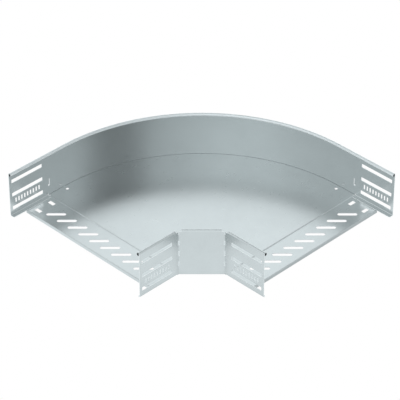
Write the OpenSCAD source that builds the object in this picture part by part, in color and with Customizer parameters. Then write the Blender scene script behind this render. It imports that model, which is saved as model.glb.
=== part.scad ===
// Horizontal 90 degree bend for a perforated cable tray, in galvanised sheet steel.
// Three sheets make it: a flat base, a curved outer wall and an inner wall folded twice.
// X and Y run along the two arms, whose openings face -X and -Y. The part is the same on
// both sides of the diagonal plane X = Y, so each arm is drawn once and mirrored.

/* [Tray] */
// Clear width between the side walls
inside_w = 306; // [156:1:606]
// Height of the outer side wall, from the underside of its feet to the top of the rim
side_h = 85; // [82:1:120]
// Thickness of the sheet
sheet = 1; // [0.8:0.05:1.5]

/* [Bend] */
// Distance from the curve's centre to the planes of the inner wall's legs
corner_in = 17; // [0:1:40]
// Straight run of the outer wall, from the end of the curve to the open end
arm_len = 121; // [105:1:180]
// Distance from the end of the curve to the station of the inner wall's folds
fold_run = 35; // [25:1:40]

/* [Rim and foot] */
// Outside diameter of the curled rim
rim_d = 5.5; // [4.5:0.1:7]
// How far the curl goes round, from the outside of the wall
rim_turn = 300; // [240:5:310]
// Width of the outer wall's feet, from the inside of the wall
outer_foot_w = 7.4; // [6:0.1:12]
// Gap between the inner wall's feet and the edge of the strip that they lie beside
foot_gap = 0.3; // [0.1:0.05:0.6]
// Inside radius of the bend between wall and foot
foot_bend_r = 1; // [0.5:0.1:2]
// Gap between the end of the foot and the plain lower edge of the wall
foot_relief_w = 1; // [0.5:0.1:3]
// Height of that gap above the foot
foot_relief_h = 3; // [3:0.5:10]

/* [Base] */
// Width of the lowered strip along each opening, from its step to its lip
strip_w = 53; // [48:0.5:58]
// Length of the step from the base down to the strip
step_run = 2; // [1.5:0.1:4]
// Distance from the inner wall's fold to the step
step_gap = 1.5; // [0.5:0.1:4]
// Distance of the strip's side edges from the walls
strip_side = 4; // [3:0.1:5]
// Depth of the lip along the opening, below the top of the strip
lip_drop = 3.7426; // [2.5:0.0001:6]
// Downward slope of the lip
lip_angle = 60; // [20:1:75]
// Chamfer on the two ends of the lip
lip_chamfer = 3; // [1:0.5:5]
// Gap between the edge of the base and the walls
seam_gap = 0.5; // [0.1:0.05:0.8]

/* [Slots in the strip] */
// Width of the slots
strip_slot_w = 7; // [5:0.5:8]
// Overall length of the diagonal slots
diagonal_l = 33; // [24:1:36]
// Distance between the diagonal slots, along the opening
diagonal_pitch = 26; // [22:1:40]
// Distance of the first diagonal slot from the outer wall
diagonal_first = 49.2; // [46:0.1:60]
// Least distance of the last diagonal slot from the inner wall
diagonal_last = 46; // [30:1:60]
// Distance of the diagonal slots from the step
diagonal_in = 27; // [24:0.5:30]
// Length of the two short slots
short_slot_l = 13; // [10:0.5:16]
// Distance of the short slots from the outer wall
short_slot_side = 20.5; // [18:0.5:24]
// Distance of the first short slot from the step
short_slot_in = 11; // [8:0.5:14]
// Distance between the short slots
short_slot_pitch = 29.5; // [24:0.5:32]
// Corner radius of the short slots and of the slots in the walls
corner_r = 1; // [0.5:0.1:1.4]
// Diameter of the fixing hole in the base
hole_d = 5.5; // [4:0.1:8]
// Distance of the fixing hole from the outer wall
hole_side = 9; // [6:0.5:14]
// Distance of the fixing hole from the step, on the base's side
hole_in = 34.5; // [20:0.5:50]

/* [Slots in the wall ends] */
// Distance of the long slots from the station of the folds
wall_slot_in = 15; // [10:0.5:30]
// Height of the long slots
wall_slot_h = 7; // [5:0.5:9]
// Number of long slots, one above the other
wall_slot_n = 3; // [1:1:3]
// Height of the lowest long slot above the underside of the base
wall_slot_low = 13; // [12:0.5:15]
// Distance between the long slots
wall_slot_pitch = 26.5; // [24:0.5:27]
// Distance of the long slots from the end of the wall
wall_slot_end = 5; // [4:0.5:8]
// Width of the short upright slits
slit_w = 3; // [1.5:0.1:4]
// Height of the short upright slits
slit_h = 8.5; // [6:0.5:12]
// Distance between the slits
slit_pitch = 6.3; // [5:0.1:8]
// Least distance of the row of slits from the ends of the long slots
slit_end = 6; // [3:0.5:12]

/* [Marks and folds] */
// Width of the latch slit near the curve
latch_w = 1.2; // [0.8:0.1:2]
// Height of the latch slit
latch_h = 13; // [8:0.5:18]
// Height of the lower end of the latch slit above the underside of the base
latch_low = 20; // [14:0.5:26]
// Distance of the latch slit from the fold station, towards the curve
latch_in = 0; // [0:0.5:10]
// Diameter of the latch hole
latch_hole_d = 3; // [2:0.1:4]
// Sideways shift of the latch hole, towards the open end
latch_hole_shift = 1.5; // [0:0.1:3]
// Width of the perforations along the folds
perforation_w = 3.5; // [1.5:0.1:4]
// Height of the perforations along the folds
perforation_h = 9; // [6:0.5:12]
// Number of perforations in each fold
perforation_n = 3; // [1:1:3]
// Distance between the perforations
perforation_pitch = 20.5; // [16:0.5:22]
// Height of the lowest perforation above the underside of the base
perforation_low = 20; // [16:0.5:24]
// Length of rim left off each leg beside a fold
leg_rim_gap = 6; // [3:0.5:10]
// Length of rim left off the middle panel beside a fold
panel_rim_gap = 5.5; // [3:0.5:12]
// Width of the notch in the top of each fold
notch_w = 2.5; // [1.5:0.1:5]
// Depth of that notch below the centre of the rim
notch_d = 5; // [2:0.5:8]

/* [Hidden] */
$fn = 96;
zinc = [0.72, 0.75, 0.76];
past = 1; // how far each cutter reaches past the sheet
lap = 4; // how far the joined parts of one sheet run into each other
rim_r = rim_d / 2;
outer_r = corner_in + inside_w; // inside radius of the curved outer wall
fold_at = -fold_run; // place of the folds along the arms
fold_setback = corner_in - fold_at; // length of leg that each fold cuts off the corner
step_at = fold_at - step_gap; // where the base starts to step down
strip_at = step_at - step_run; // where the strip starts
lip_at = strip_at - strip_w; // where the lip starts
foot_at = strip_at - foot_relief_w; // where the feet of the walls start
lip_reach = lip_drop / tan(lip_angle);
foot_z = lip_drop + sheet * cos(lip_angle); // underside of the outer feet and the base, top of the strip
inner_low = foot_z - sheet; // underside of the inner wall and its feet, level with the strip's
inner_foot_w = strip_side - foot_gap; // width of the inner wall's feet, from the inside of the wall
rim_z = foot_z + side_h - rim_r; // centre of the rim
middle = (outer_r + sheet - arm_len) / 2; // middle of the part, from the curve's centre
panel_l = fold_setback * sqrt(2); // length of the inner wall's middle panel
panel_face = (fold_at + corner_in) / sqrt(2); // place of that panel's inner face along the diagonal
diagonal_n = floor((inside_w - diagonal_first - diagonal_last) / diagonal_pitch) + 1;
wall_slot_l = arm_len - wall_slot_end - fold_run - wall_slot_in; // length of the long slots
slit_n = floor((wall_slot_l - 2 * slit_end) / slit_pitch) + 1;

// Draws an arm, and the other arm as its mirror image
module both_arms() {
    children();
    mirror([1, -1, 0]) children();
}

// Sets the origin at the middle of the part, on the floor
module on_floor() {
    translate([-middle, -middle, 0]) children();
}

// A section, drawn across the wall and upwards, run along X between two places
module run(from, to) {
    translate([from, 0, 0]) rotate([90, 0, 90]) linear_extrude(to - from) children();
}

// A flat shape, drawn along the wall and upwards, as a cutter through a wall whose inside is at y
module through_wall(y, out) {
    translate([0, y + (out > 0 ? sheet + past : past), 0]) rotate([90, 0, 0])
        linear_extrude(sheet + 2 * past) children();
}

module rounded_slot(l, h) {
    square([l - 2 * corner_r, h], center = true);
    square([l, h - 2 * corner_r], center = true);
    for (x = [-1, 1], y = [-1, 1])
        translate([x * (l / 2 - corner_r), y * (h / 2 - corner_r)]) circle(corner_r);
}

module round_ended_slot(l, w) {
    square([l - w, w], center = true);
    for (x = [-1, 1]) translate([x * (l - w) / 2, 0]) circle(w / 2);
}

// Sections of a wall: its inside is at 0 and its outside at sheet
module upright(from_z) {
    polygon([[0, from_z], [sheet, from_z], [sheet, rim_z], [0, rim_z]]);
}

module rim() {
    far = 3 * rim_r;
    translate([sheet - rim_r, rim_z]) {
        difference() {
            circle(rim_r);
            circle(rim_r - sheet);
            polygon([[0, 0], [far, 0], far * [cos(rim_turn), sin(rim_turn)]]);
        }
        translate([rim_r - sheet, -lap]) square([sheet, lap]);
    }
}

module foot(w, low) {
    translate([-w, low]) square([w - foot_bend_r, sheet]);
    translate([-foot_bend_r, low + sheet + foot_bend_r]) intersection() {
        difference() {
            circle(foot_bend_r + sheet);
            circle(foot_bend_r);
        }
        translate([0, -foot_bend_r - sheet]) square(foot_bend_r + sheet);
    }
    upright(low + sheet + foot_bend_r);
}

// Slots of one wall end, along the arm and upwards
module wall_end_slots() {
    slot_x = -arm_len + wall_slot_end + wall_slot_l / 2;
    translate([slot_x, foot_z + wall_slot_low]) {
        for (i = [0 : wall_slot_n - 1])
            translate([0, i * wall_slot_pitch]) rounded_slot(wall_slot_l, wall_slot_h);
        for (i = [0 : slit_n - 1])
            translate([(i - (slit_n - 1) / 2) * slit_pitch, wall_slot_pitch / 2])
                square([slit_w, slit_h], center = true);
    }
}

// Latch slit with its round hole, along the arm and upwards
module latch_slit() {
    translate([fold_at + latch_in, foot_z + latch_low]) {
        translate([-latch_w / 2, 0]) square([latch_w, latch_h]);
        translate([-latch_hole_shift, 0]) circle(d = latch_hole_d);
    }
}

// Outline of the flat base between the walls and the two steps
module base_outline() {
    reach = outer_r - seam_gap;
    inside = corner_in + seam_gap;
    end = step_at - past;
    difference() {
        union() {
            intersection() {
                circle(reach, $fn = 180);
                square(reach);
            }
            translate([step_at, step_at]) square([reach - step_at, -step_at]);
            translate([step_at, step_at]) square([-step_at, reach - step_at]);
        }
        polygon([[end, end], [end, inside], [fold_at, inside], [inside, fold_at], [inside, end]]);
    }
}

// Section of the strip with its step and its lip, outwards along the arm and upwards
module strip_section() {
    step_slope = atan2(sheet, step_run);
    step_in = sheet * tan(step_slope / 2);
    lip_in = sheet * tan(lip_angle / 2);
    tip = [-lip_at + lip_reach, foot_z - lip_drop];
    polygon([
        [-step_at - lap, foot_z + sheet],
        [-step_at, foot_z + sheet],
        [-strip_at, foot_z],
        [-lip_at, foot_z],
        tip,
        tip - sheet * [sin(lip_angle), cos(lip_angle)],
        [-lip_at - lip_in, foot_z - sheet],
        [-strip_at - step_in, foot_z - sheet],
        [-step_at - step_in, foot_z],
        [-step_at - lap, foot_z],
    ]);
}

// Strip along one opening, with its lip chamfered at both ends
module strip() {
    near = corner_in + strip_side;
    far = outer_r - strip_side;
    difference() {
        translate([0, far, 0]) rotate([90, 0, 0]) linear_extrude(far - near) mirror([1, 0]) strip_section();
        for (y = [near, far])
            translate([lip_at - lip_reach, y, -past]) rotate([0, 0, 45])
                cube([lip_chamfer * sqrt(2), lip_chamfer * sqrt(2), 2 * foot_z + 4 * past], center = true);
    }
}

// Slots of one strip and the fixing hole beside it, seen from above
module strip_slots() {
    for (i = [0 : diagonal_n - 1])
        translate([strip_at - diagonal_in, outer_r - diagonal_first - i * diagonal_pitch]) rotate(-45)
            round_ended_slot(diagonal_l, strip_slot_w);
    for (i = [0, 1])
        translate([strip_at - short_slot_in - i * short_slot_pitch, outer_r - short_slot_side]) rotate(90)
            rounded_slot(short_slot_l, strip_slot_w);
    translate([strip_at + hole_in, outer_r - hole_side]) circle(d = hole_d);
}

module base_plate() {
    color(zinc) on_floor() difference() {
        union() {
            translate([0, 0, foot_z]) linear_extrude(sheet) base_outline();
            both_arms() strip();
        }
        both_arms() translate([0, 0, -past]) linear_extrude(foot_z + sheet + 2 * past) strip_slots();
    }
}

module outer_wall() {
    color(zinc) on_floor() difference() {
        union() {
            rotate_extrude(angle = 90, $fn = 180) translate([outer_r, 0]) {
                upright(0);
                rim();
            }
            both_arms() {
                run(strip_at, 0) translate([outer_r, 0]) {
                    upright(0);
                    rim();
                }
                run(foot_at, strip_at) translate([outer_r, 0]) {
                    upright(foot_z + sheet + foot_relief_h);
                    rim();
                }
                run(-arm_len, foot_at) translate([outer_r, 0]) {
                    foot(outer_foot_w, foot_z);
                    rim();
                }
            }
        }
        both_arms() through_wall(outer_r, 1) {
            wall_end_slots();
            latch_slit();
        }
    }
}

// Plan of the inner wall's sheet over its legs and middle panel, out to a place along the arms
module inner_plan(end) {
    out = corner_in - sheet;
    fold_out = fold_at - sheet * tan(22.5);
    polygon([
        [end, corner_in], [fold_at, corner_in], [corner_in, fold_at], [corner_in, end],
        [out, end], [out, fold_out], [fold_out, out], [end, out],
    ]);
}

// Perforations and top notch of one fold
module fold_cuts() {
    translate([fold_at, corner_in, foot_z]) rotate([0, 0, -22.5]) {
        for (i = [0 : perforation_n - 1])
            translate([0, 0, perforation_low + i * perforation_pitch])
                cube([perforation_w, 4 * sheet + past, perforation_h], center = true);
        translate([-notch_w / 2, -2 * sheet - past, rim_z - foot_z - notch_d])
            cube([notch_w, 4 * sheet + past, notch_d + rim_d]);
    }
}

module inner_wall() {
    gap_top = inner_low + sheet + foot_relief_h;
    color(zinc) on_floor() difference() {
        union() {
            translate([0, 0, gap_top]) linear_extrude(rim_z - gap_top) inner_plan(-arm_len);
            translate([0, 0, inner_low]) linear_extrude(rim_z - inner_low) inner_plan(strip_at);
            both_arms() {
                run(-arm_len, foot_at) translate([corner_in, 0]) mirror([1, 0]) foot(inner_foot_w, inner_low);
                run(-arm_len, fold_at - leg_rim_gap) translate([corner_in, 0]) mirror([1, 0]) rim();
            }
            rotate([0, 0, -45]) run(panel_rim_gap - panel_l / 2, panel_l / 2 - panel_rim_gap)
                translate([panel_face, 0]) mirror([1, 0]) rim();
        }
        both_arms() {
            through_wall(corner_in, -1) wall_end_slots();
            fold_cuts();
        }
    }
}

base_plate();
outer_wall();
inner_wall();
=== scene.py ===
import math

import bmesh
import bpy
import numpy as np
from mathutils import Matrix, Vector


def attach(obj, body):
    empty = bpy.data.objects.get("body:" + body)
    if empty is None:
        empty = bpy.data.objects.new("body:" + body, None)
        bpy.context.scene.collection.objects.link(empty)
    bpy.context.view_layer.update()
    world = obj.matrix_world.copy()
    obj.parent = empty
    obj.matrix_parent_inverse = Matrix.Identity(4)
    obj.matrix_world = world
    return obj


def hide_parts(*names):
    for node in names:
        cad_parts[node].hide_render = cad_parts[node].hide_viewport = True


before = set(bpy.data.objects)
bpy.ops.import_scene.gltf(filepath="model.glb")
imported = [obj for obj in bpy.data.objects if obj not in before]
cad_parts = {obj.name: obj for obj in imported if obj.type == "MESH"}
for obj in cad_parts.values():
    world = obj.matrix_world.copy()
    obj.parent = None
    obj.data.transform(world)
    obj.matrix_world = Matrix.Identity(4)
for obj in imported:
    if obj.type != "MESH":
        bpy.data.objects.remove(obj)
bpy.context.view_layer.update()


# Camera: it stands on the diagonal of the bend, in front of the folded inner wall, and looks down on it
# through a long lens from 3.7 m away, so that the two arms are seen alike.
to_front = Vector((-1, -1, 0)).normalized()
looked_at = Vector((-0.0108, -0.0108, 0.0467))
camera_distance = 3.734
looking_down = math.radians(35.6)
towards_camera = math.cos(looking_down) * to_front + Vector((0, 0, math.sin(looking_down)))
camera = bpy.data.objects.new("camera", bpy.data.cameras.new("camera"))
bpy.context.scene.collection.objects.link(camera)
camera.location = looked_at + camera_distance * towards_camera
camera.rotation_euler = towards_camera.to_track_quat("Z", "Y").to_euler()
camera.data.lens = 206.1
camera.data.sensor_width = 36
camera.data.shift_x = -0.0044
camera.data.clip_end = 50
bpy.context.scene.camera = camera


# Base plate: strip-galvanised steel, 1 mm thick, blanked and punched flat. A strip along each opening is set
# down by the sheet's own thickness, so that the outer wall's feet lie on it flush with the rest of the base,
# and its front edge is turned down into a lip. Sizes are in mm from the curve's centre and the floor.
sheet = 1.0
curve_r = 323.0  # inner face of the curved outer wall
inner_face = 17.0  # channel side of the inner wall's legs
seam = 0.5  # gap between the base's edge and the walls
fold_station = -35.0  # where the inner wall's legs meet its middle panel
base_z = 4.2426  # underside of the base
step_start, step_end = 36.5, 38.5
strip_edge = 4.0  # gap between the ends of a strip and the walls
lip_start, lip_end, lip_chamfer = 91.211, 93.228, 3.0
lip_turn, lip_bend_r = math.radians(60.0), 1.2
diagonal_slot = {"Length": 33.0, "Width": 7.0, "Corner": 3.5}
short_slot = {"Length": 13.0, "Width": 7.0, "Corner": 1.0}
fixing_hole = {"Length": 5.5, "Width": 5.5, "Corner": 2.75}
arm_slots = (
    # name, punch, count, place of the first, step to the next and turn in degrees, in the arm to -X
    ("diagonal slots", diagonal_slot, 9, (-65.5, 273.8), (0.0, -26.0), -45.0),
    ("short slots", short_slot, 2, (-49.5, 302.5), (-29.5, 0.0), 90.0),
    ("fixing hole", fixing_hole, 1, (-4.0, 314.0), (0.0, 0.0), 0.0),
)
pale_zinc, grey_zinc = (0.64, 0.668, 0.671, 1.0), (0.588, 0.614, 0.617, 1.0)
crystal_size, cloud_size, grain_size = 6.25, 50.0, 0.625
grey_steel, bright_steel = (0.86, 0.88, 0.885, 1.0), (0.94, 0.95, 0.95, 1.0)
metres = 0.001
plan_middle = 101.5
to_row_origin = Matrix.Scale(metres, 4) @ Matrix.Translation((-plan_middle, -plan_middle, 0.0))


def add(tree, kind, values=None, **settings):
    """Adds a node, with its settings, and sets or links its inputs."""
    made = tree.nodes.new(kind)
    for name, value in settings.items():
        setattr(made, name, value)
    for name, value in (values or {}).items():
        if isinstance(value, bpy.types.NodeSocket):
            tree.links.new(value, made.inputs[name])
        else:
            made.inputs[name].default_value = value
    return made


def number_from(tree, operation, *terms):
    """A number worked out from others in a node tree."""
    return add(tree, "ShaderNodeMath", dict(enumerate(terms)), operation=operation).outputs["Value"]


def ranged(tree, value, low, high, first, last, **settings):
    """A number that runs from first to last while another runs from low to high."""
    limits = {"Value": value, "From Min": low, "From Max": high, "To Min": first, "To Max": last}
    return add(tree, "ShaderNodeMapRange", limits, **settings).outputs["Result"]


def blended(tree, share, first, second):
    """A colour between two others."""
    ends = {"Factor": share, "A": first, "B": second}
    return add(tree, "ShaderNodeMix", ends, data_type="RGBA").outputs[2]


def slot_row_nodes():
    """Geometry nodes for one row of like slots: a rounded punch, stepped along the sheet."""
    tree = bpy.data.node_groups.new("slot_row", "GeometryNodeTree")
    for name, kind in (("Length", "Float"), ("Width", "Float"), ("Corner", "Float"), ("Count", "Int"),
                       ("First", "Vector"), ("Step", "Vector"), ("Turn", "Float")):
        tree.interface.new_socket(name, in_out="INPUT", socket_type="NodeSocket" + kind)
    tree.interface.new_socket("Slots", in_out="OUTPUT", socket_type="NodeSocketGeometry")
    size = add(tree, "NodeGroupInput").outputs
    punch = add(tree, "GeometryNodeCurvePrimitiveQuadrilateral", {
        "Width": size["Length"], "Height": size["Width"]})
    rounded = add(tree, "GeometryNodeFilletCurve", {
        "Curve": punch.outputs["Curve"], "Radius": size["Corner"], "Count": 8, "Limit Radius": True,
    }, mode="POLY")
    places = add(tree, "GeometryNodeMeshLine", {
        "Count": size["Count"], "Start Location": size["First"], "Offset": size["Step"]})
    turn = add(tree, "ShaderNodeCombineXYZ", {"Z": size["Turn"]})
    slots = add(tree, "GeometryNodeInstanceOnPoints", {
        "Points": places.outputs["Mesh"], "Instance": rounded.outputs["Curve"],
        "Rotation": turn.outputs["Vector"]})
    real = add(tree, "GeometryNodeRealizeInstances", {"Geometry": slots.outputs["Instances"]})
    add(tree, "NodeGroupOutput", {"Slots": real.outputs["Geometry"]})
    return tree


def slot_row(punch, count, first, step, turn=0.0):
    """The sizes that the nodes need for one row of slots."""
    return {**punch, "Count": count, "First": (*first, 0.0), "Step": (*step, 0.0), "Turn": math.radians(turn)}


def plain_mesh(piece):
    """Turns a piece and its modifiers into one plain mesh."""
    state = bpy.context.evaluated_depsgraph_get()
    made = bpy.data.meshes.new_from_object(
        piece.evaluated_get(state), preserve_all_data_layers=True, depsgraph=state)
    piece.modifiers.clear()
    piece.data = made


def sheet_tree(name):
    """A geometry tree that takes a sheet and gives it back worked."""
    tree = bpy.data.node_groups.new(name, "GeometryNodeTree")
    tree.interface.new_socket("Sheet", in_out="INPUT", socket_type="NodeSocketGeometry")
    tree.interface.new_socket("Sheet", in_out="OUTPUT", socket_type="NodeSocketGeometry")
    return tree


def work_sheet(piece, tree, shape, finish, inputs):
    """Ends a sheet's tree, runs it on the piece with the inputs given by identifier, and keeps the mesh."""
    real = add(tree, "GeometryNodeRealizeInstances", {"Geometry": shape})
    coated = add(tree, "GeometryNodeSetMaterial", {"Geometry": real.outputs["Geometry"], "Material": finish})
    add(tree, "NodeGroupOutput", {"Sheet": coated.outputs["Geometry"]})
    work = piece.modifiers.new(tree.name, "NODES")
    work.node_group = tree
    for identifier, value in inputs.items():
        work[identifier] = value
    plain_mesh(piece)


def punched_blank(name, loops, rows, finish):
    """The flat blank of a piece: closed loops of points for its outline, with rows of slots punched out."""
    points, edges = [], []
    for loop in loops:
        first = len(points)
        points += [(x, y, 0.0) for x, y in loop]
        edges += [(first + i, first + (i + 1) % len(loop)) for i in range(len(loop))]
    outline = bpy.data.meshes.new(name)
    outline.from_pydata(points, edges, [])
    piece = bpy.data.objects.new(name, outline)
    bpy.context.scene.collection.objects.link(piece)
    tree = sheet_tree(name + "_blank")
    kinds = {"Count": "Int", "First": "Vector", "Step": "Vector"}
    inputs = {}
    for row, size in rows.items():
        for key, value in size.items():
            made = tree.interface.new_socket(
                f"{row} {key}", in_out="INPUT", socket_type="NodeSocket" + kinds.get(key, "Float"))
            inputs[made.identifier] = value
    given = add(tree, "NodeGroupInput").outputs
    curves = add(tree, "GeometryNodeJoinGeometry")
    edge = add(tree, "GeometryNodeMeshToCurve", {"Mesh": given["Sheet"]})
    tree.links.new(edge.outputs["Curve"], curves.inputs["Geometry"])
    for row, size in rows.items():
        punched = add(tree, "GeometryNodeGroup", node_tree=slot_row_group)
        for key in size:
            tree.links.new(given[f"{row} {key}"], punched.inputs[key])
        tree.links.new(punched.outputs["Slots"], curves.inputs["Geometry"])
    filled = add(tree, "GeometryNodeFillCurve", {"Curve": curves.outputs["Geometry"]}, mode="TRIANGLES")
    work_sheet(piece, tree, filled.outputs["Mesh"], finish, inputs)
    return piece


def score(piece, across, along):
    """Divides a blank along its bend lines, and keeps each point's place on the flat sheet as its UV map."""
    lined = bmesh.new()
    lined.from_mesh(piece.data)
    for places, normal in ((across, (1, 0, 0)), (along, (0, 1, 0))):
        for place in places:
            bmesh.ops.bisect_plane(lined, geom=lined.verts[:] + lined.edges[:] + lined.faces[:], dist=1e-4,
                                   plane_co=[place * n for n in normal], plane_no=normal)
    flat = lined.loops.layers.uv.new("flat_sheet")
    for face in lined.faces:
        for corner in face.loops:
            corner[flat].uv = corner.vert.co.xy
    lined.to_mesh(piece.data)
    lined.free()


def give_thickness(piece, edge_finish, curl_shade_finish=None, curl_start=0.0, curl_side=2):
    """Gives a formed sheet its thickness and moves it to metres from the row's origin. The inside and the cut
    ends of a curl take a finish of painted shade of their own, from a height on the flat sheet upwards: the
    curl's inside is the sheet's first side (0) or its second (2)."""
    piece.data.materials.append(edge_finish)
    thick = piece.modifiers.new("thickness", "SOLIDIFY")
    thick.thickness = sheet
    thick.offset = 0.0
    thick.use_even_offset = True
    thick.material_offset_rim = 1
    if curl_shade_finish:
        piece.data.materials.append(curl_shade_finish)
        thick.material_offset = 2
    plain_mesh(piece)
    # painted shade: faces inside the curl and its cut ends above curl_start take the dark curl material
    if curl_shade_finish:
        flat = piece.data.uv_layers["flat_sheet"].uv
        for face in piece.data.polygons:
            curled = min(flat[corner].vector.y for corner in face.loop_indices) > curl_start
            hidden = curled and face.material_index in (1, curl_side)
            face.material_index = 2 if hidden else face.material_index % 2
    piece.data.transform(to_row_origin)
    piece.data.polygons.foreach_set("use_smooth", [True] * len(piece.data.polygons))
    piece.data.set_sharp_from_angle(angle=math.radians(25))
    flats = piece.modifiers.new("flat_faces_stay_flat", "WEIGHTED_NORMAL")
    flats.weight = 100
    flats.keep_sharp = True
    plain_mesh(piece)


def new_finish(name, metallic):
    """A new material, its node tree and its shader."""
    made = bpy.data.materials.new(name)
    made.use_nodes = True
    shader = made.node_tree.nodes["Principled BSDF"]
    shader.inputs["Metallic"].default_value = metallic
    return made, made.node_tree, shader


def sheet_noise(tree, place, scale, detail):
    """Soft unevenness over the flat sheet."""
    return add(tree, "ShaderNodeTexNoise", {"Vector": place, "Scale": scale, "Detail": detail},
               noise_dimensions="2D").outputs["Fac"]


def galvanised_sheet(name, least_dull, most_dull):
    """Zinc coating: small pale crystals, faint streaks from the rolling mill and a satin gloss."""
    made, tree, shader = new_finish(name, 1.0)
    flat = add(tree, "ShaderNodeUVMap", uv_map="flat_sheet").outputs["UV"]
    crystals = add(tree, "ShaderNodeTexVoronoi", {
        "Vector": flat, "Scale": 1 / crystal_size}, voronoi_dimensions="2D").outputs["Color"]
    shade = add(tree, "ShaderNodeSeparateColor", {"Color": crystals}).outputs
    rolled = add(tree, "ShaderNodeMapping", {"Vector": flat, "Scale": (0.012, 0.9, 1.0)}).outputs["Vector"]
    streaks = sheet_noise(tree, rolled, 1.0, 4.0)
    clouds = sheet_noise(tree, flat, 1 / cloud_size, 3.0)
    grain = sheet_noise(tree, flat, 1 / grain_size, 2.0)
    tone = number_from(tree, "MULTIPLY", ranged(tree, shade["Red"], 0.0, 1.0, 0.8, 1.0), clouds)
    dullness = number_from(tree, "ADD", streaks, shade["Green"])
    relief = add(tree, "ShaderNodeBump", {"Height": grain, "Strength": 0.006, "Distance": 0.001})
    tree.links.new(blended(tree, tone, pale_zinc, grey_zinc), shader.inputs["Base Color"])
    tree.links.new(ranged(tree, dullness, 0.0, 2.0, least_dull, most_dull), shader.inputs["Roughness"])
    tree.links.new(relief.outputs["Normal"], shader.inputs["Normal"])
    return made


def sheared_edge():
    """Cut edge of the sheet: bare bright steel with the fine upright marks of the shear."""
    made, tree, shader = new_finish("sheared_edge", 0.2)
    place = add(tree, "ShaderNodeTexCoord").outputs["Object"]
    finer = add(tree, "ShaderNodeMapping", {"Vector": place, "Scale": (2500.0, 2500.0, 250.0)})
    marks = add(tree, "ShaderNodeTexNoise", {
        "Vector": finer.outputs["Vector"], "Scale": 1.0, "Detail": 2.0}).outputs["Fac"]
    tree.links.new(blended(tree, marks, grey_steel, bright_steel), shader.inputs["Base Color"])
    tree.links.new(ranged(tree, marks, 0.0, 1.0, 0.3, 0.5), shader.inputs["Roughness"])
    return made


def on_circle(radius, degrees, centre=(0.0, 0.0)):
    """Points on a circle, at angles in degrees."""
    x, y = centre
    turns = [math.radians(angle) for angle in degrees]
    return [(x + radius * math.cos(turn), y + radius * math.sin(turn)) for turn in turns]


slot_row_group = slot_row_nodes()
base_zinc = galvanised_sheet("base_zinc", least_dull=0.27, most_dull=0.29)
bare_edge = sheared_edge()

arm_outline = [
    (0.0, curve_r - seam), (-step_start, curve_r - seam), (-step_start, curve_r - strip_edge),
    (lip_chamfer - lip_end, curve_r - strip_edge), (-lip_end, curve_r - strip_edge - lip_chamfer),
    (-lip_end, inner_face + strip_edge + lip_chamfer), (lip_chamfer - lip_end, inner_face + strip_edge),
    (-step_start, inner_face + strip_edge), (-step_start, inner_face + seam),
    (fold_station, inner_face + seam),
]
base_outline = arm_outline + [(y, x) for x, y in reversed(arm_outline)]
base_outline += on_circle(curve_r - seam, range(1, 90))

base_slots = {}
for arm in ("x", "y"):
    for name, punch, count, first, step, turn in arm_slots:
        if arm == "y":
            first, step, turn = first[::-1], step[::-1], 90.0 - turn
        base_slots[f"{name} {arm}"] = slot_row(punch, count, first, step, turn)

# the strip's section outwards from the step: an S-shaped set-down, a flat, and a rounded bend into the lip
step_share = np.linspace(0.0, 1.0, 9)
bend_turns = lip_turn * np.linspace(0.0, 1.0, 8)
bend_start = lip_start - lip_bend_r * math.tan(lip_turn / 2)
past_lip = lip_end + 1.0  # the section runs on past the edge of the blank
section_out = np.concatenate((
    step_start + (step_end - step_start) * step_share,
    bend_start + lip_bend_r * np.sin(bend_turns),
    [past_lip]))
section_drop = np.concatenate((
    -sheet * step_share ** 2 * (3.0 - 2.0 * step_share),
    -sheet - lip_bend_r * (1.0 - np.cos(bend_turns)),
    [-sheet - (past_lip - lip_start) * math.tan(lip_turn)]))
bend_lines = -section_out[:-1]

base_plate = punched_blank("base_plate_sheet", [base_outline], base_slots, base_zinc)
score(base_plate, bend_lines, bend_lines)
for point in base_plate.data.vertices:
    drops = np.interp([-point.co.x, -point.co.y], section_out, section_drop, left=0.0)
    point.co.z = base_z + sheet / 2 + drops.sum()
give_thickness(base_plate, bare_edge)
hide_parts("base_plate")
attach(base_plate, "root")


# Outer wall: one long strip of the same sheet, punched flat at both ends, rolled round the curve, its top
# edge curled into a rim and a foot bent inwards at each end, where it lies on the base's lowered strip.
arm_len = 121.0  # straight end, from the curve to the opening
side_h = 85.0
foot_len, foot_gap, foot_gap_top = 81.5, 1.0, 2.0
foot_bend_r, foot_bend_steps, foot_corner = 1.5, 8, 2.0
outer_foot_w, outer_foot_z = 7.9, base_z + sheet / 2
outer_edge_z = 0.0  # plain lower edge between the feet
rim_r, rim_turn, rim_steps = 2.25, 300.0, 30
rim_z = base_z + side_h - sheet / 2 - rim_r
curl_hidden_from = rim_z + 1.5  # height on the flat sheet where the painted shade inside the curl starts
long_slot = {"Length": 66.0, "Width": 7.0, "Corner": 1.0}
long_slot_at, long_slot_z = 38.0, base_z + 13.0  # middle of the lowest, from the wall's end and the floor
long_slot_count, long_slot_pitch = 3, 26.5
slit = {"Length": 3.0, "Width": 8.5, "Corner": 0.3}
slit_count, slit_pitch = 9, 6.3
latch_hole, latch_hole_r = (84.5, base_z + 20.0), 1.5
latch_hole_turns = range(54, 361, 18)  # degrees, open where the slit meets the hole
latch_left, latch_right, latch_top = 85.4, 86.6, base_z + 33.0
wall_r, curve_steps = curve_r + sheet / 2, 90
curve_lead = 0.2  # the path keeps straight up to this far from the curve
# painted highlights on the rim's curl and its flank, and painted shade under the curl
curl_highlight_zinc, flank_highlight_zinc = (0.7, 0.73, 0.735, 1.0), (0.93, 0.95, 0.955, 1.0)
shaded_zinc = (0.1, 0.1, 0.1, 1.0)
# painted shade inside the curl, in faint streaks
deep_curl_shade, light_curl_shade = (0.06, 0.063, 0.064, 1.0), (0.14, 0.145, 0.148, 1.0)


def vector_from(tree, operation, values):
    """A vector worked out from others in a node tree."""
    return add(tree, "ShaderNodeVectorMath", values, operation=operation).outputs["Vector"]


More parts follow.
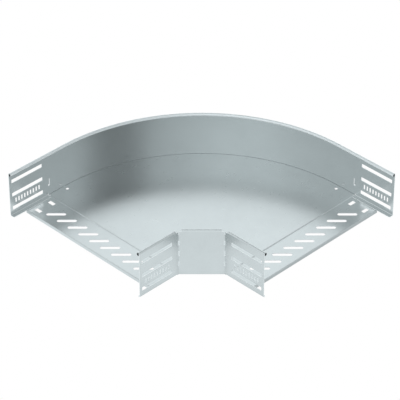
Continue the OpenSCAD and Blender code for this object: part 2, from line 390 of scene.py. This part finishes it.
def chord(radius, turn, steps):
    """Length of each straight piece of an arc that turns by so many degrees in equal steps."""
    return 2 * radius * math.sin(math.radians(turn / steps) / 2)


def mirrored(points, length):
    """Points at one end of a blank, moved to its other end."""
    return [(length - along, height) for along, height in points]


def wall_sections(foot_w, foot_z, low_z, side):
    """Sections of a wall from its foot up, (across, up), one with a foot and one with a plain lower edge at
    low_z. Also the foot's edge, the foot's bend lines and the rim's, as heights on the flat sheet from the
    floor under the upright wall. The foot and the rim turn to the path's right (side 1) or left (side -1)."""
    bend_z = foot_z + foot_bend_r
    foot = [(-foot_w, foot_z)]
    foot += on_circle(foot_bend_r, np.linspace(-90.0, 0.0, foot_bend_steps + 1), (-foot_bend_r, bend_z))
    rim = on_circle(rim_r, np.linspace(0.0, rim_turn, rim_steps + 1), (-rim_r, rim_z))
    with_foot = [(side * across, up) for across, up in foot + rim]
    plain = [(side * across, up) for across, up in [(0.0, low_z), (0.0, bend_z)] + rim]
    foot_step = chord(foot_bend_r, 90.0, foot_bend_steps)
    rim_step = chord(rim_r, rim_turn, rim_steps)
    foot_bends = [bend_z + foot_step * i for i in range(-foot_bend_steps, 1)]
    rim_bends = [rim_z + rim_step * i for i in range(rim_steps + 1)]
    foot_edge = foot_bends[0] - (foot_w - foot_bend_r)
    return with_foot, plain, foot_edge, foot_bends, rim_bends


def lower_edge_points(foot_edge, bend_line, plain_edge):
    """Lower edge of a blank at its first end: a foot with a rounded corner, and the gap that frees it."""
    cut = 0.3 * foot_corner  # how far in the rounded corner lies at its middle
    gap_top = bend_line + foot_gap_top
    gap_end = foot_len + foot_gap
    return [
        (0.0, foot_edge + foot_corner), (cut, foot_edge + cut), (foot_corner, foot_edge),
        (foot_len, foot_edge), (foot_len, gap_top), (gap_end, gap_top), (gap_end, plain_edge),
    ]


def end_slots(length):
    """Rows of slots at both ends of a blank: long ones, and a row of slits between the lower two."""
    first_slit = long_slot_at - slit_pitch * (slit_count - 1) / 2
    slit_z = long_slot_z + long_slot_pitch / 2
    rows = {}
    for end, sign, start in (("first", 1.0, 0.0), ("last", -1.0, length)):
        slot_place = (start + sign * long_slot_at, long_slot_z)
        slit_place = (start + sign * first_slit, slit_z)
        rows[f"long slots {end}"] = slot_row(long_slot, long_slot_count, slot_place, (0.0, long_slot_pitch))
        rows[f"slits {end}"] = slot_row(slit, slit_count, slit_place, (sign * slit_pitch, 0.0))
    return rows


def poly_curve(name, points):
    """A line through flat points, as a curve for the nodes to follow."""
    line = bpy.data.curves.new(name, "CURVE")
    line.dimensions = "3D"
    spline = line.splines.new("POLY")
    spline.points.add(len(points) - 1)
    for knot, point in zip(spline.points, points):
        knot.co = (*point, 0.0, 1.0)
    made = bpy.data.objects.new(name, line)
    bpy.context.scene.collection.objects.link(made)
    return made


def form_wall(piece, path, with_foot, plain, sizes, finish):
    """Geometry nodes that lay a scored blank along a path in plan, with its height following a section."""
    curves = {"Path": poly_curve("path", path), "Foot section": poly_curve("foot_section", with_foot),
              "Plain section": poly_curve("plain_section", plain)}
    tree = sheet_tree(piece.name + "_forming")
    inputs = {}
    for name, value in {**curves, **sizes}.items():
        kind = "NodeSocketObject" if name in curves else "NodeSocketFloat"
        inputs[tree.interface.new_socket(name, in_out="INPUT", socket_type=kind).identifier] = value
    given = add(tree, "NodeGroupInput").outputs
    position = add(tree, "GeometryNodeInputPosition").outputs["Position"]
    place = add(tree, "ShaderNodeSeparateXYZ", {"Vector": position}).outputs

    def followed(name, length):
        """The point and the direction of a given line, so far along it."""
        line = add(tree, "GeometryNodeObjectInfo", {"Object": given[name]}).outputs["Geometry"]
        return add(tree, "GeometryNodeSampleCurve", {"Curves": line, "Length": length}, mode="LENGTH").outputs

    along = followed("Path", place["X"])
    above_foot = number_from(tree, "SUBTRACT", place["Y"], given["Foot edge"])
    above_edge = number_from(tree, "SUBTRACT", place["Y"], given["Plain edge"])
    foot_at = followed("Foot section", above_foot)["Position"]
    plain_at = followed("Plain section", above_edge)["Position"]
    from_middle = number_from(tree, "SUBTRACT", place["X"], given["Half length"])
    off_middle = number_from(tree, "ABSOLUTE", from_middle)
    in_foot = add(tree, "FunctionNodeCompare", {
        0: off_middle, 1: given["Foot start"]}, operation="GREATER_THAN").outputs["Result"]
    section = add(tree, "GeometryNodeSwitch", {
        "Switch": in_foot, "False": plain_at, "True": foot_at}, input_type="VECTOR").outputs["Output"]
    across_up = add(tree, "ShaderNodeSeparateXYZ", {"Vector": section}).outputs
    sideways = vector_from(tree, "CROSS_PRODUCT", {0: (0.0, 0.0, 1.0), 1: along["Tangent"]})
    outwards = vector_from(tree, "NORMALIZE", {0: sideways})
    across = vector_from(tree, "SCALE", {0: outwards, "Scale": across_up["X"]})
    up = add(tree, "ShaderNodeCombineXYZ", {"Z": across_up["Y"]}).outputs["Vector"]
    offset = vector_from(tree, "ADD", {0: across, 1: up})
    bent = vector_from(tree, "ADD", {0: along["Position"], 1: offset})
    formed = add(tree, "GeometryNodeSetPosition", {"Geometry": given["Sheet"], "Position": bent})
    work_sheet(piece, tree, formed.outputs["Geometry"], finish, inputs)
    for line in curves.values():
        bpy.data.objects.remove(line)


def paint_rim_light_and_shade(finish):
    """Changes the zinc of a wall that is seen with its rim, with painted shade and painted highlights:
    painted shade darkens it a little up to the curl; on the curl it is dull and paler, a painted highlight,
    with a still paler and less metallic flank as a further painted highlight, and a dark underside of painted
    shade."""
    tree = finish.node_tree
    shader = tree.nodes["Principled BSDF"]
    flat_zinc = shader.inputs["Base Color"].links[0].from_socket
    flat_dull = shader.inputs["Roughness"].links[0].from_socket
    flat = add(tree, "ShaderNodeUVMap", uv_map="flat_sheet").outputs["UV"]
    height = add(tree, "ShaderNodeSeparateXYZ", {"Vector": flat}).outputs["Y"]

    def past(start, end):
        """From 0 to 1 between two heights on the flat sheet, in millimetres from the start of the curl."""
        return ranged(tree, height, rim_z + start, rim_z + end, 0.0, 1.0)

    curl, flank, underside = past(-0.5, 0.5), past(5.5, 6.5), past(9.2, 10.2)
    # painted shade: the wall darkens by up to 4 % over the 40 mm below the curl
    rim_shade = number_from(tree, "MULTIPLY_ADD", past(-40.0, 0.0), -0.04, 1.0)
    darker = vector_from(tree, "SCALE", {0: flat_zinc, "Scale": rim_shade})
    # painted highlights on the curl and its flank, painted shade on the curl's underside
    curl_lit = blended(tree, curl, darker, curl_highlight_zinc)
    flank_lit = blended(tree, flank, curl_lit, flank_highlight_zinc)
    tree.links.new(blended(tree, underside, flank_lit, shaded_zinc), shader.inputs["Base Color"])
    tree.links.new(number_from(tree, "MULTIPLY_ADD", curl, 0.2, flat_dull), shader.inputs["Roughness"])
    tree.links.new(number_from(tree, "MULTIPLY_ADD", flank, -0.5, 1.0), shader.inputs["Metallic"])


def curl_inside_shade():
    """Inside of the curl: painted shade, dull dark zinc with faint streaks along the sheet."""
    made, tree, shader = new_finish("curl_inside_shade", 1.0)
    flat = add(tree, "ShaderNodeUVMap", uv_map="flat_sheet").outputs["UV"]
    drawn = add(tree, "ShaderNodeMapping", {"Vector": flat, "Scale": (0.05, 1.2, 1.0)}).outputs["Vector"]
    streaks = sheet_noise(tree, drawn, 1.0, 3.0)
    tree.links.new(blended(tree, streaks, deep_curl_shade, light_curl_shade), shader.inputs["Base Color"])
    tree.links.new(ranged(tree, streaks, 0.0, 1.0, 0.45, 0.65), shader.inputs["Roughness"])
    return made


curve_step = chord(wall_r, 90.0, curve_steps)
outer_len = 2 * arm_len + curve_steps * curve_step
outer_path = [(-arm_len, wall_r), (-curve_lead, wall_r)]
outer_path += on_circle(wall_r, np.linspace(90.0, 0.0, curve_steps + 1))
outer_path += [(wall_r, -curve_lead), (wall_r, -arm_len)]

with_foot, plain, foot_edge, foot_bends, rim_bends = wall_sections(
    outer_foot_w, outer_foot_z, outer_edge_z, 1.0)
lower_edge = lower_edge_points(foot_edge, foot_bends[-1], outer_edge_z)
outer_outline = lower_edge + mirrored(lower_edge[::-1], outer_len)
outer_outline += [(outer_len, rim_bends[-1]), (0.0, rim_bends[-1])]

# a thin latch slit that ends in a small round hole, just before the curve
latch = [(latch_left, latch_top)]
latch += on_circle(latch_hole_r, latch_hole_turns, latch_hole)
latch += [(latch_right, latch_hole[1]), (latch_right, latch_top)]
outer_loops = [outer_outline, latch, mirrored(latch, outer_len)]

curl_inside = curl_inside_shade()
outer_zinc = galvanised_sheet("outer_wall_zinc", least_dull=0.21, most_dull=0.245)
paint_rim_light_and_shade(outer_zinc)
outer_wall = punched_blank("outer_wall_sheet", outer_loops, end_slots(outer_len), outer_zinc)
score(outer_wall, [arm_len + curve_step * i for i in range(curve_steps + 1)], foot_bends + rim_bends[:-1])
form_wall(outer_wall, outer_path, with_foot, plain, {
    "Foot edge": foot_edge, "Plain edge": outer_edge_z, "Half length": outer_len / 2,
    "Foot start": outer_len / 2 - foot_len - foot_gap / 2}, outer_zinc)
give_thickness(outer_wall, bare_edge, curl_inside, curl_hidden_from, curl_side=0)
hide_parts("outer_wall")
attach(outer_wall, "root")


# Inner wall: a short strip of the same sheet, folded along two perforated lines into two legs and a middle
# panel. The legs have the slots of the outer wall's ends, and narrower feet that lie beside the base's
# lowered strips. The curled rim stops short of each fold, where the top edge is notched.
fold_turn, fold_r, fold_steps = 45.0, 1.2, 4
fold_slope = math.tan(math.radians(fold_turn / 2))
fold_cut = fold_r * fold_slope
fold_lead = 0.05  # the path keeps straight up to this far from a fold
inner_mid = inner_face - sheet / 2
fold_corner = fold_station - sheet / 2 * fold_slope
panel_len = (inner_mid - fold_corner) * math.sqrt(2)
panel_rim_half = 31.27
inner_foot_w, inner_foot_z = 4.2, base_z - sheet / 2
inner_edge_z = inner_foot_z - sheet / 2
leg_rim_len, notch_w, notch_d = 80.0, 2.5, 5.0
perforation = {"Length": 3.5, "Width": 9.0, "Corner": 0.4}
perforation_count, perforation_z, perforation_pitch = 3, base_z + 20.0, 20.5

leg_end = fold_corner - fold_cut
fold_turns = np.linspace(90.0, 90.0 - fold_turn, fold_steps + 1)
first_fold = on_circle(fold_r, fold_turns, (leg_end, inner_mid - fold_r))
panel_x, panel_y = first_fold[-1]
panel_lead = fold_lead / math.sqrt(2)
half_path = [(-arm_len, inner_mid), (leg_end - fold_lead, inner_mid)] + first_fold
half_path.append((panel_x + panel_lead, panel_y - panel_lead))
inner_path = half_path + [(y, x) for x, y in reversed(half_path)]

fold_step = chord(fold_r, fold_turn, fold_steps)
leg_len = leg_end + arm_len
inner_len = 2 * (leg_len + fold_steps * fold_step) + panel_len - 2 * fold_cut
fold_at = leg_len + fold_steps * fold_step / 2
fold_lines = [leg_len + fold_step * i for i in range(fold_steps + 1)]
fold_lines += [inner_len - place for place in fold_lines]

with_foot, plain, foot_edge, foot_bends, rim_bends = wall_sections(
    inner_foot_w, inner_foot_z, inner_edge_z, -1.0)
lower_edge = lower_edge_points(foot_edge, foot_bends[-1], inner_edge_z)
top, below_curl = rim_bends[-1], rim_bends[0]
notch_start, notch_end, notch_bottom = fold_at - notch_w / 2, fold_at + notch_w / 2, below_curl - notch_d
panel_rim_start = inner_len / 2 - panel_rim_half
upper_edge = [
    (0.0, top), (leg_rim_len, top), (leg_rim_len, below_curl),
    (notch_start, below_curl), (notch_start, notch_bottom),
    (notch_end, notch_bottom), (notch_end, below_curl),
    (panel_rim_start, below_curl), (panel_rim_start, top),
]
inner_outline = lower_edge + mirrored(lower_edge[::-1], inner_len)
inner_outline += mirrored(upper_edge, inner_len) + upper_edge[::-1]

inner_slots = end_slots(inner_len)
for end, place in (("first", fold_at), ("last", inner_len - fold_at)):
    inner_slots[f"perforations {end}"] = slot_row(
        perforation, perforation_count, (place, perforation_z), (0.0, perforation_pitch))

inner_zinc = galvanised_sheet("inner_wall_zinc", least_dull=0.225, most_dull=0.26)
inner_wall = punched_blank("inner_wall_sheet", [inner_outline], inner_slots, inner_zinc)
score(inner_wall, fold_lines, foot_bends + rim_bends[:-1])
form_wall(inner_wall, inner_path, with_foot, plain, {
    "Foot edge": foot_edge, "Plain edge": inner_edge_z, "Half length": inner_len / 2,
    "Foot start": inner_len / 2 - foot_len - foot_gap / 2}, inner_zinc)
give_thickness(inner_wall, bare_edge, curl_inside, curl_hidden_from, curl_side=2)
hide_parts("inner_wall")
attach(inner_wall, "root")


# Floor: a plain sheet of white paper under the part. The camera sees it pure white. The metal mirrors it a
# little cooler, paler along the bend's diagonal, and with the shade that the part casts close under itself.
# Sizes are in metres.
floor_half = 15.0
paper_white, cool_white = (0.85, 0.85, 0.85, 1.0), (0.94, 1.0, 1.02, 1.0)
shade_reach = 0.012
pale_until, plain_from = 0.02, 0.07  # distances from the diagonal
to_right = Vector((1, -1, 0)).normalized()  # across the diagonal
floor_corners = [(floor_half * x, floor_half * y, 0.0) for x, y in ((-1, -1), (1, -1), (1, 1), (-1, 1))]
floor_mesh = bpy.data.meshes.new("floor")
floor_mesh.from_pydata(floor_corners, [], [(0, 1, 2, 3)])
floor = bpy.data.objects.new("floor", floor_mesh)
bpy.context.scene.collection.objects.link(floor)


def white_paper():
    """Matt white paper that glows where metal mirrors it, and is pure white where the camera sees it."""
    made, tree, shader = new_finish("white_paper", 0.0)
    shader.inputs["Base Color"].default_value = paper_white
    shader.inputs["Roughness"].default_value = 0.9
    open_above = add(tree, "ShaderNodeAmbientOcclusion", {"Distance": shade_reach}).outputs["AO"]
    shaded = ranged(tree, open_above, 0.0, 1.0, 0.72, 1.02)
    place = add(tree, "ShaderNodeTexCoord").outputs["Object"]
    sideways = add(tree, "ShaderNodeVectorMath", {0: place, 1: to_right}, operation="DOT_PRODUCT")
    off_diagonal = number_from(tree, "ABSOLUTE", sideways.outputs["Value"])
    paler = ranged(tree, off_diagonal, pale_until, plain_from, 1.03, 0.965,
                   interpolation_type="SMOOTHSTEP")
    glow = number_from(tree, "MULTIPLY", shaded, paler)
    mirrored_paper = add(tree, "ShaderNodeEmission", {"Color": cool_white, "Strength": glow})
    bright = add(tree, "ShaderNodeEmission", {"Strength": 1.0})
    ray = add(tree, "ShaderNodeLightPath").outputs
    in_metal = number_from(tree, "MAXIMUM", ray["Is Glossy Ray"], ray["Is Transmission Ray"])
    reflected = add(tree, "ShaderNodeMixShader", {
        0: in_metal, 1: shader.outputs["BSDF"], 2: mirrored_paper.outputs["Emission"]})
    seen = add(tree, "ShaderNodeMixShader", {
        0: ray["Is Camera Ray"], 1: reflected.outputs["Shader"], 2: bright.outputs["Emission"]})
    tree.links.new(seen.outputs["Shader"], tree.nodes["Material Output"].inputs["Surface"])
    return made


floor_mesh.materials.append(white_paper())


# Light: an even pale studio all round, which the camera itself sees as plain white. Soft round cards make
# some of it brighter or darker, and these are what the metal shows as reflections.
even_light = 0.915
studio_cards = (
    # degrees to the camera's right and above the floor, even and faded radius in degrees, strength
    (180, 9, 8, 45, 0.42),  # wide bright area, low behind the part
    (-26, 36, 5, 36, 0.28),  # light card to the left of the camera
    (51, 36, 4, 22.5, -0.66),  # dark card to the right of the camera, for the dark band in the curve
    (0, 90, 10, 45, 0.15),  # lighter ceiling
    (83, 3, 6, 22, -0.31),  # darker area low on the right, for the right lip
    (-83, 8, 8, 30, 0.17),  # lighter area low on the left, for the left lip
    (0, 4, 8, 26, 0.2),  # lighter area low in front
    (123, 54, 5, 20, -0.4),  # darker area behind on the right, for the right step
    (-174, 63, 12, 22, -0.85),  # dark card high behind
    (180, 41, 3, 11, 0.2),  # small bright card behind, below the dark one
)
world = bpy.data.worlds.new("studio")
world.use_nodes = True
bpy.context.scene.world = world
sky = world.node_tree
towards = add(sky, "ShaderNodeTexCoord").outputs["Generated"]


def card(side_deg, up_deg, inner_deg, outer_deg, strength):
    """A soft round patch of the studio, seen from the part."""
    side, height = math.radians(side_deg), math.radians(up_deg)
    level = math.cos(side) * to_front + math.sin(side) * to_right
    place = math.cos(height) * level + Vector((0, 0, math.sin(height)))
    near = add(sky, "ShaderNodeVectorMath", {0: towards, 1: place}, operation="DOT_PRODUCT").outputs["Value"]
    faded, even = math.cos(math.radians(outer_deg)), math.cos(math.radians(inner_deg))
    return ranged(sky, near, faded, even, 0.0, strength, interpolation_type="SMOOTHSTEP")


brightness = even_light
for sizes in studio_cards:
    brightness = number_from(sky, "ADD", brightness, card(*sizes))
studio = add(sky, "ShaderNodeBackground", {"Color": cool_white, "Strength": brightness})
white = add(sky, "ShaderNodeBackground", {"Color": (1.0, 1.0, 1.0, 1.0), "Strength": 1.0})
ray = add(sky, "ShaderNodeLightPath").outputs
seen = add(sky, "ShaderNodeMixShader", {
    0: ray["Is Camera Ray"], 1: studio.outputs["Background"], 2: white.outputs["Background"]})
sky.links.new(seen.outputs["Shader"], sky.nodes["World Output"].inputs["Surface"])
bpy.context.scene.view_settings.view_transform = "Standard"
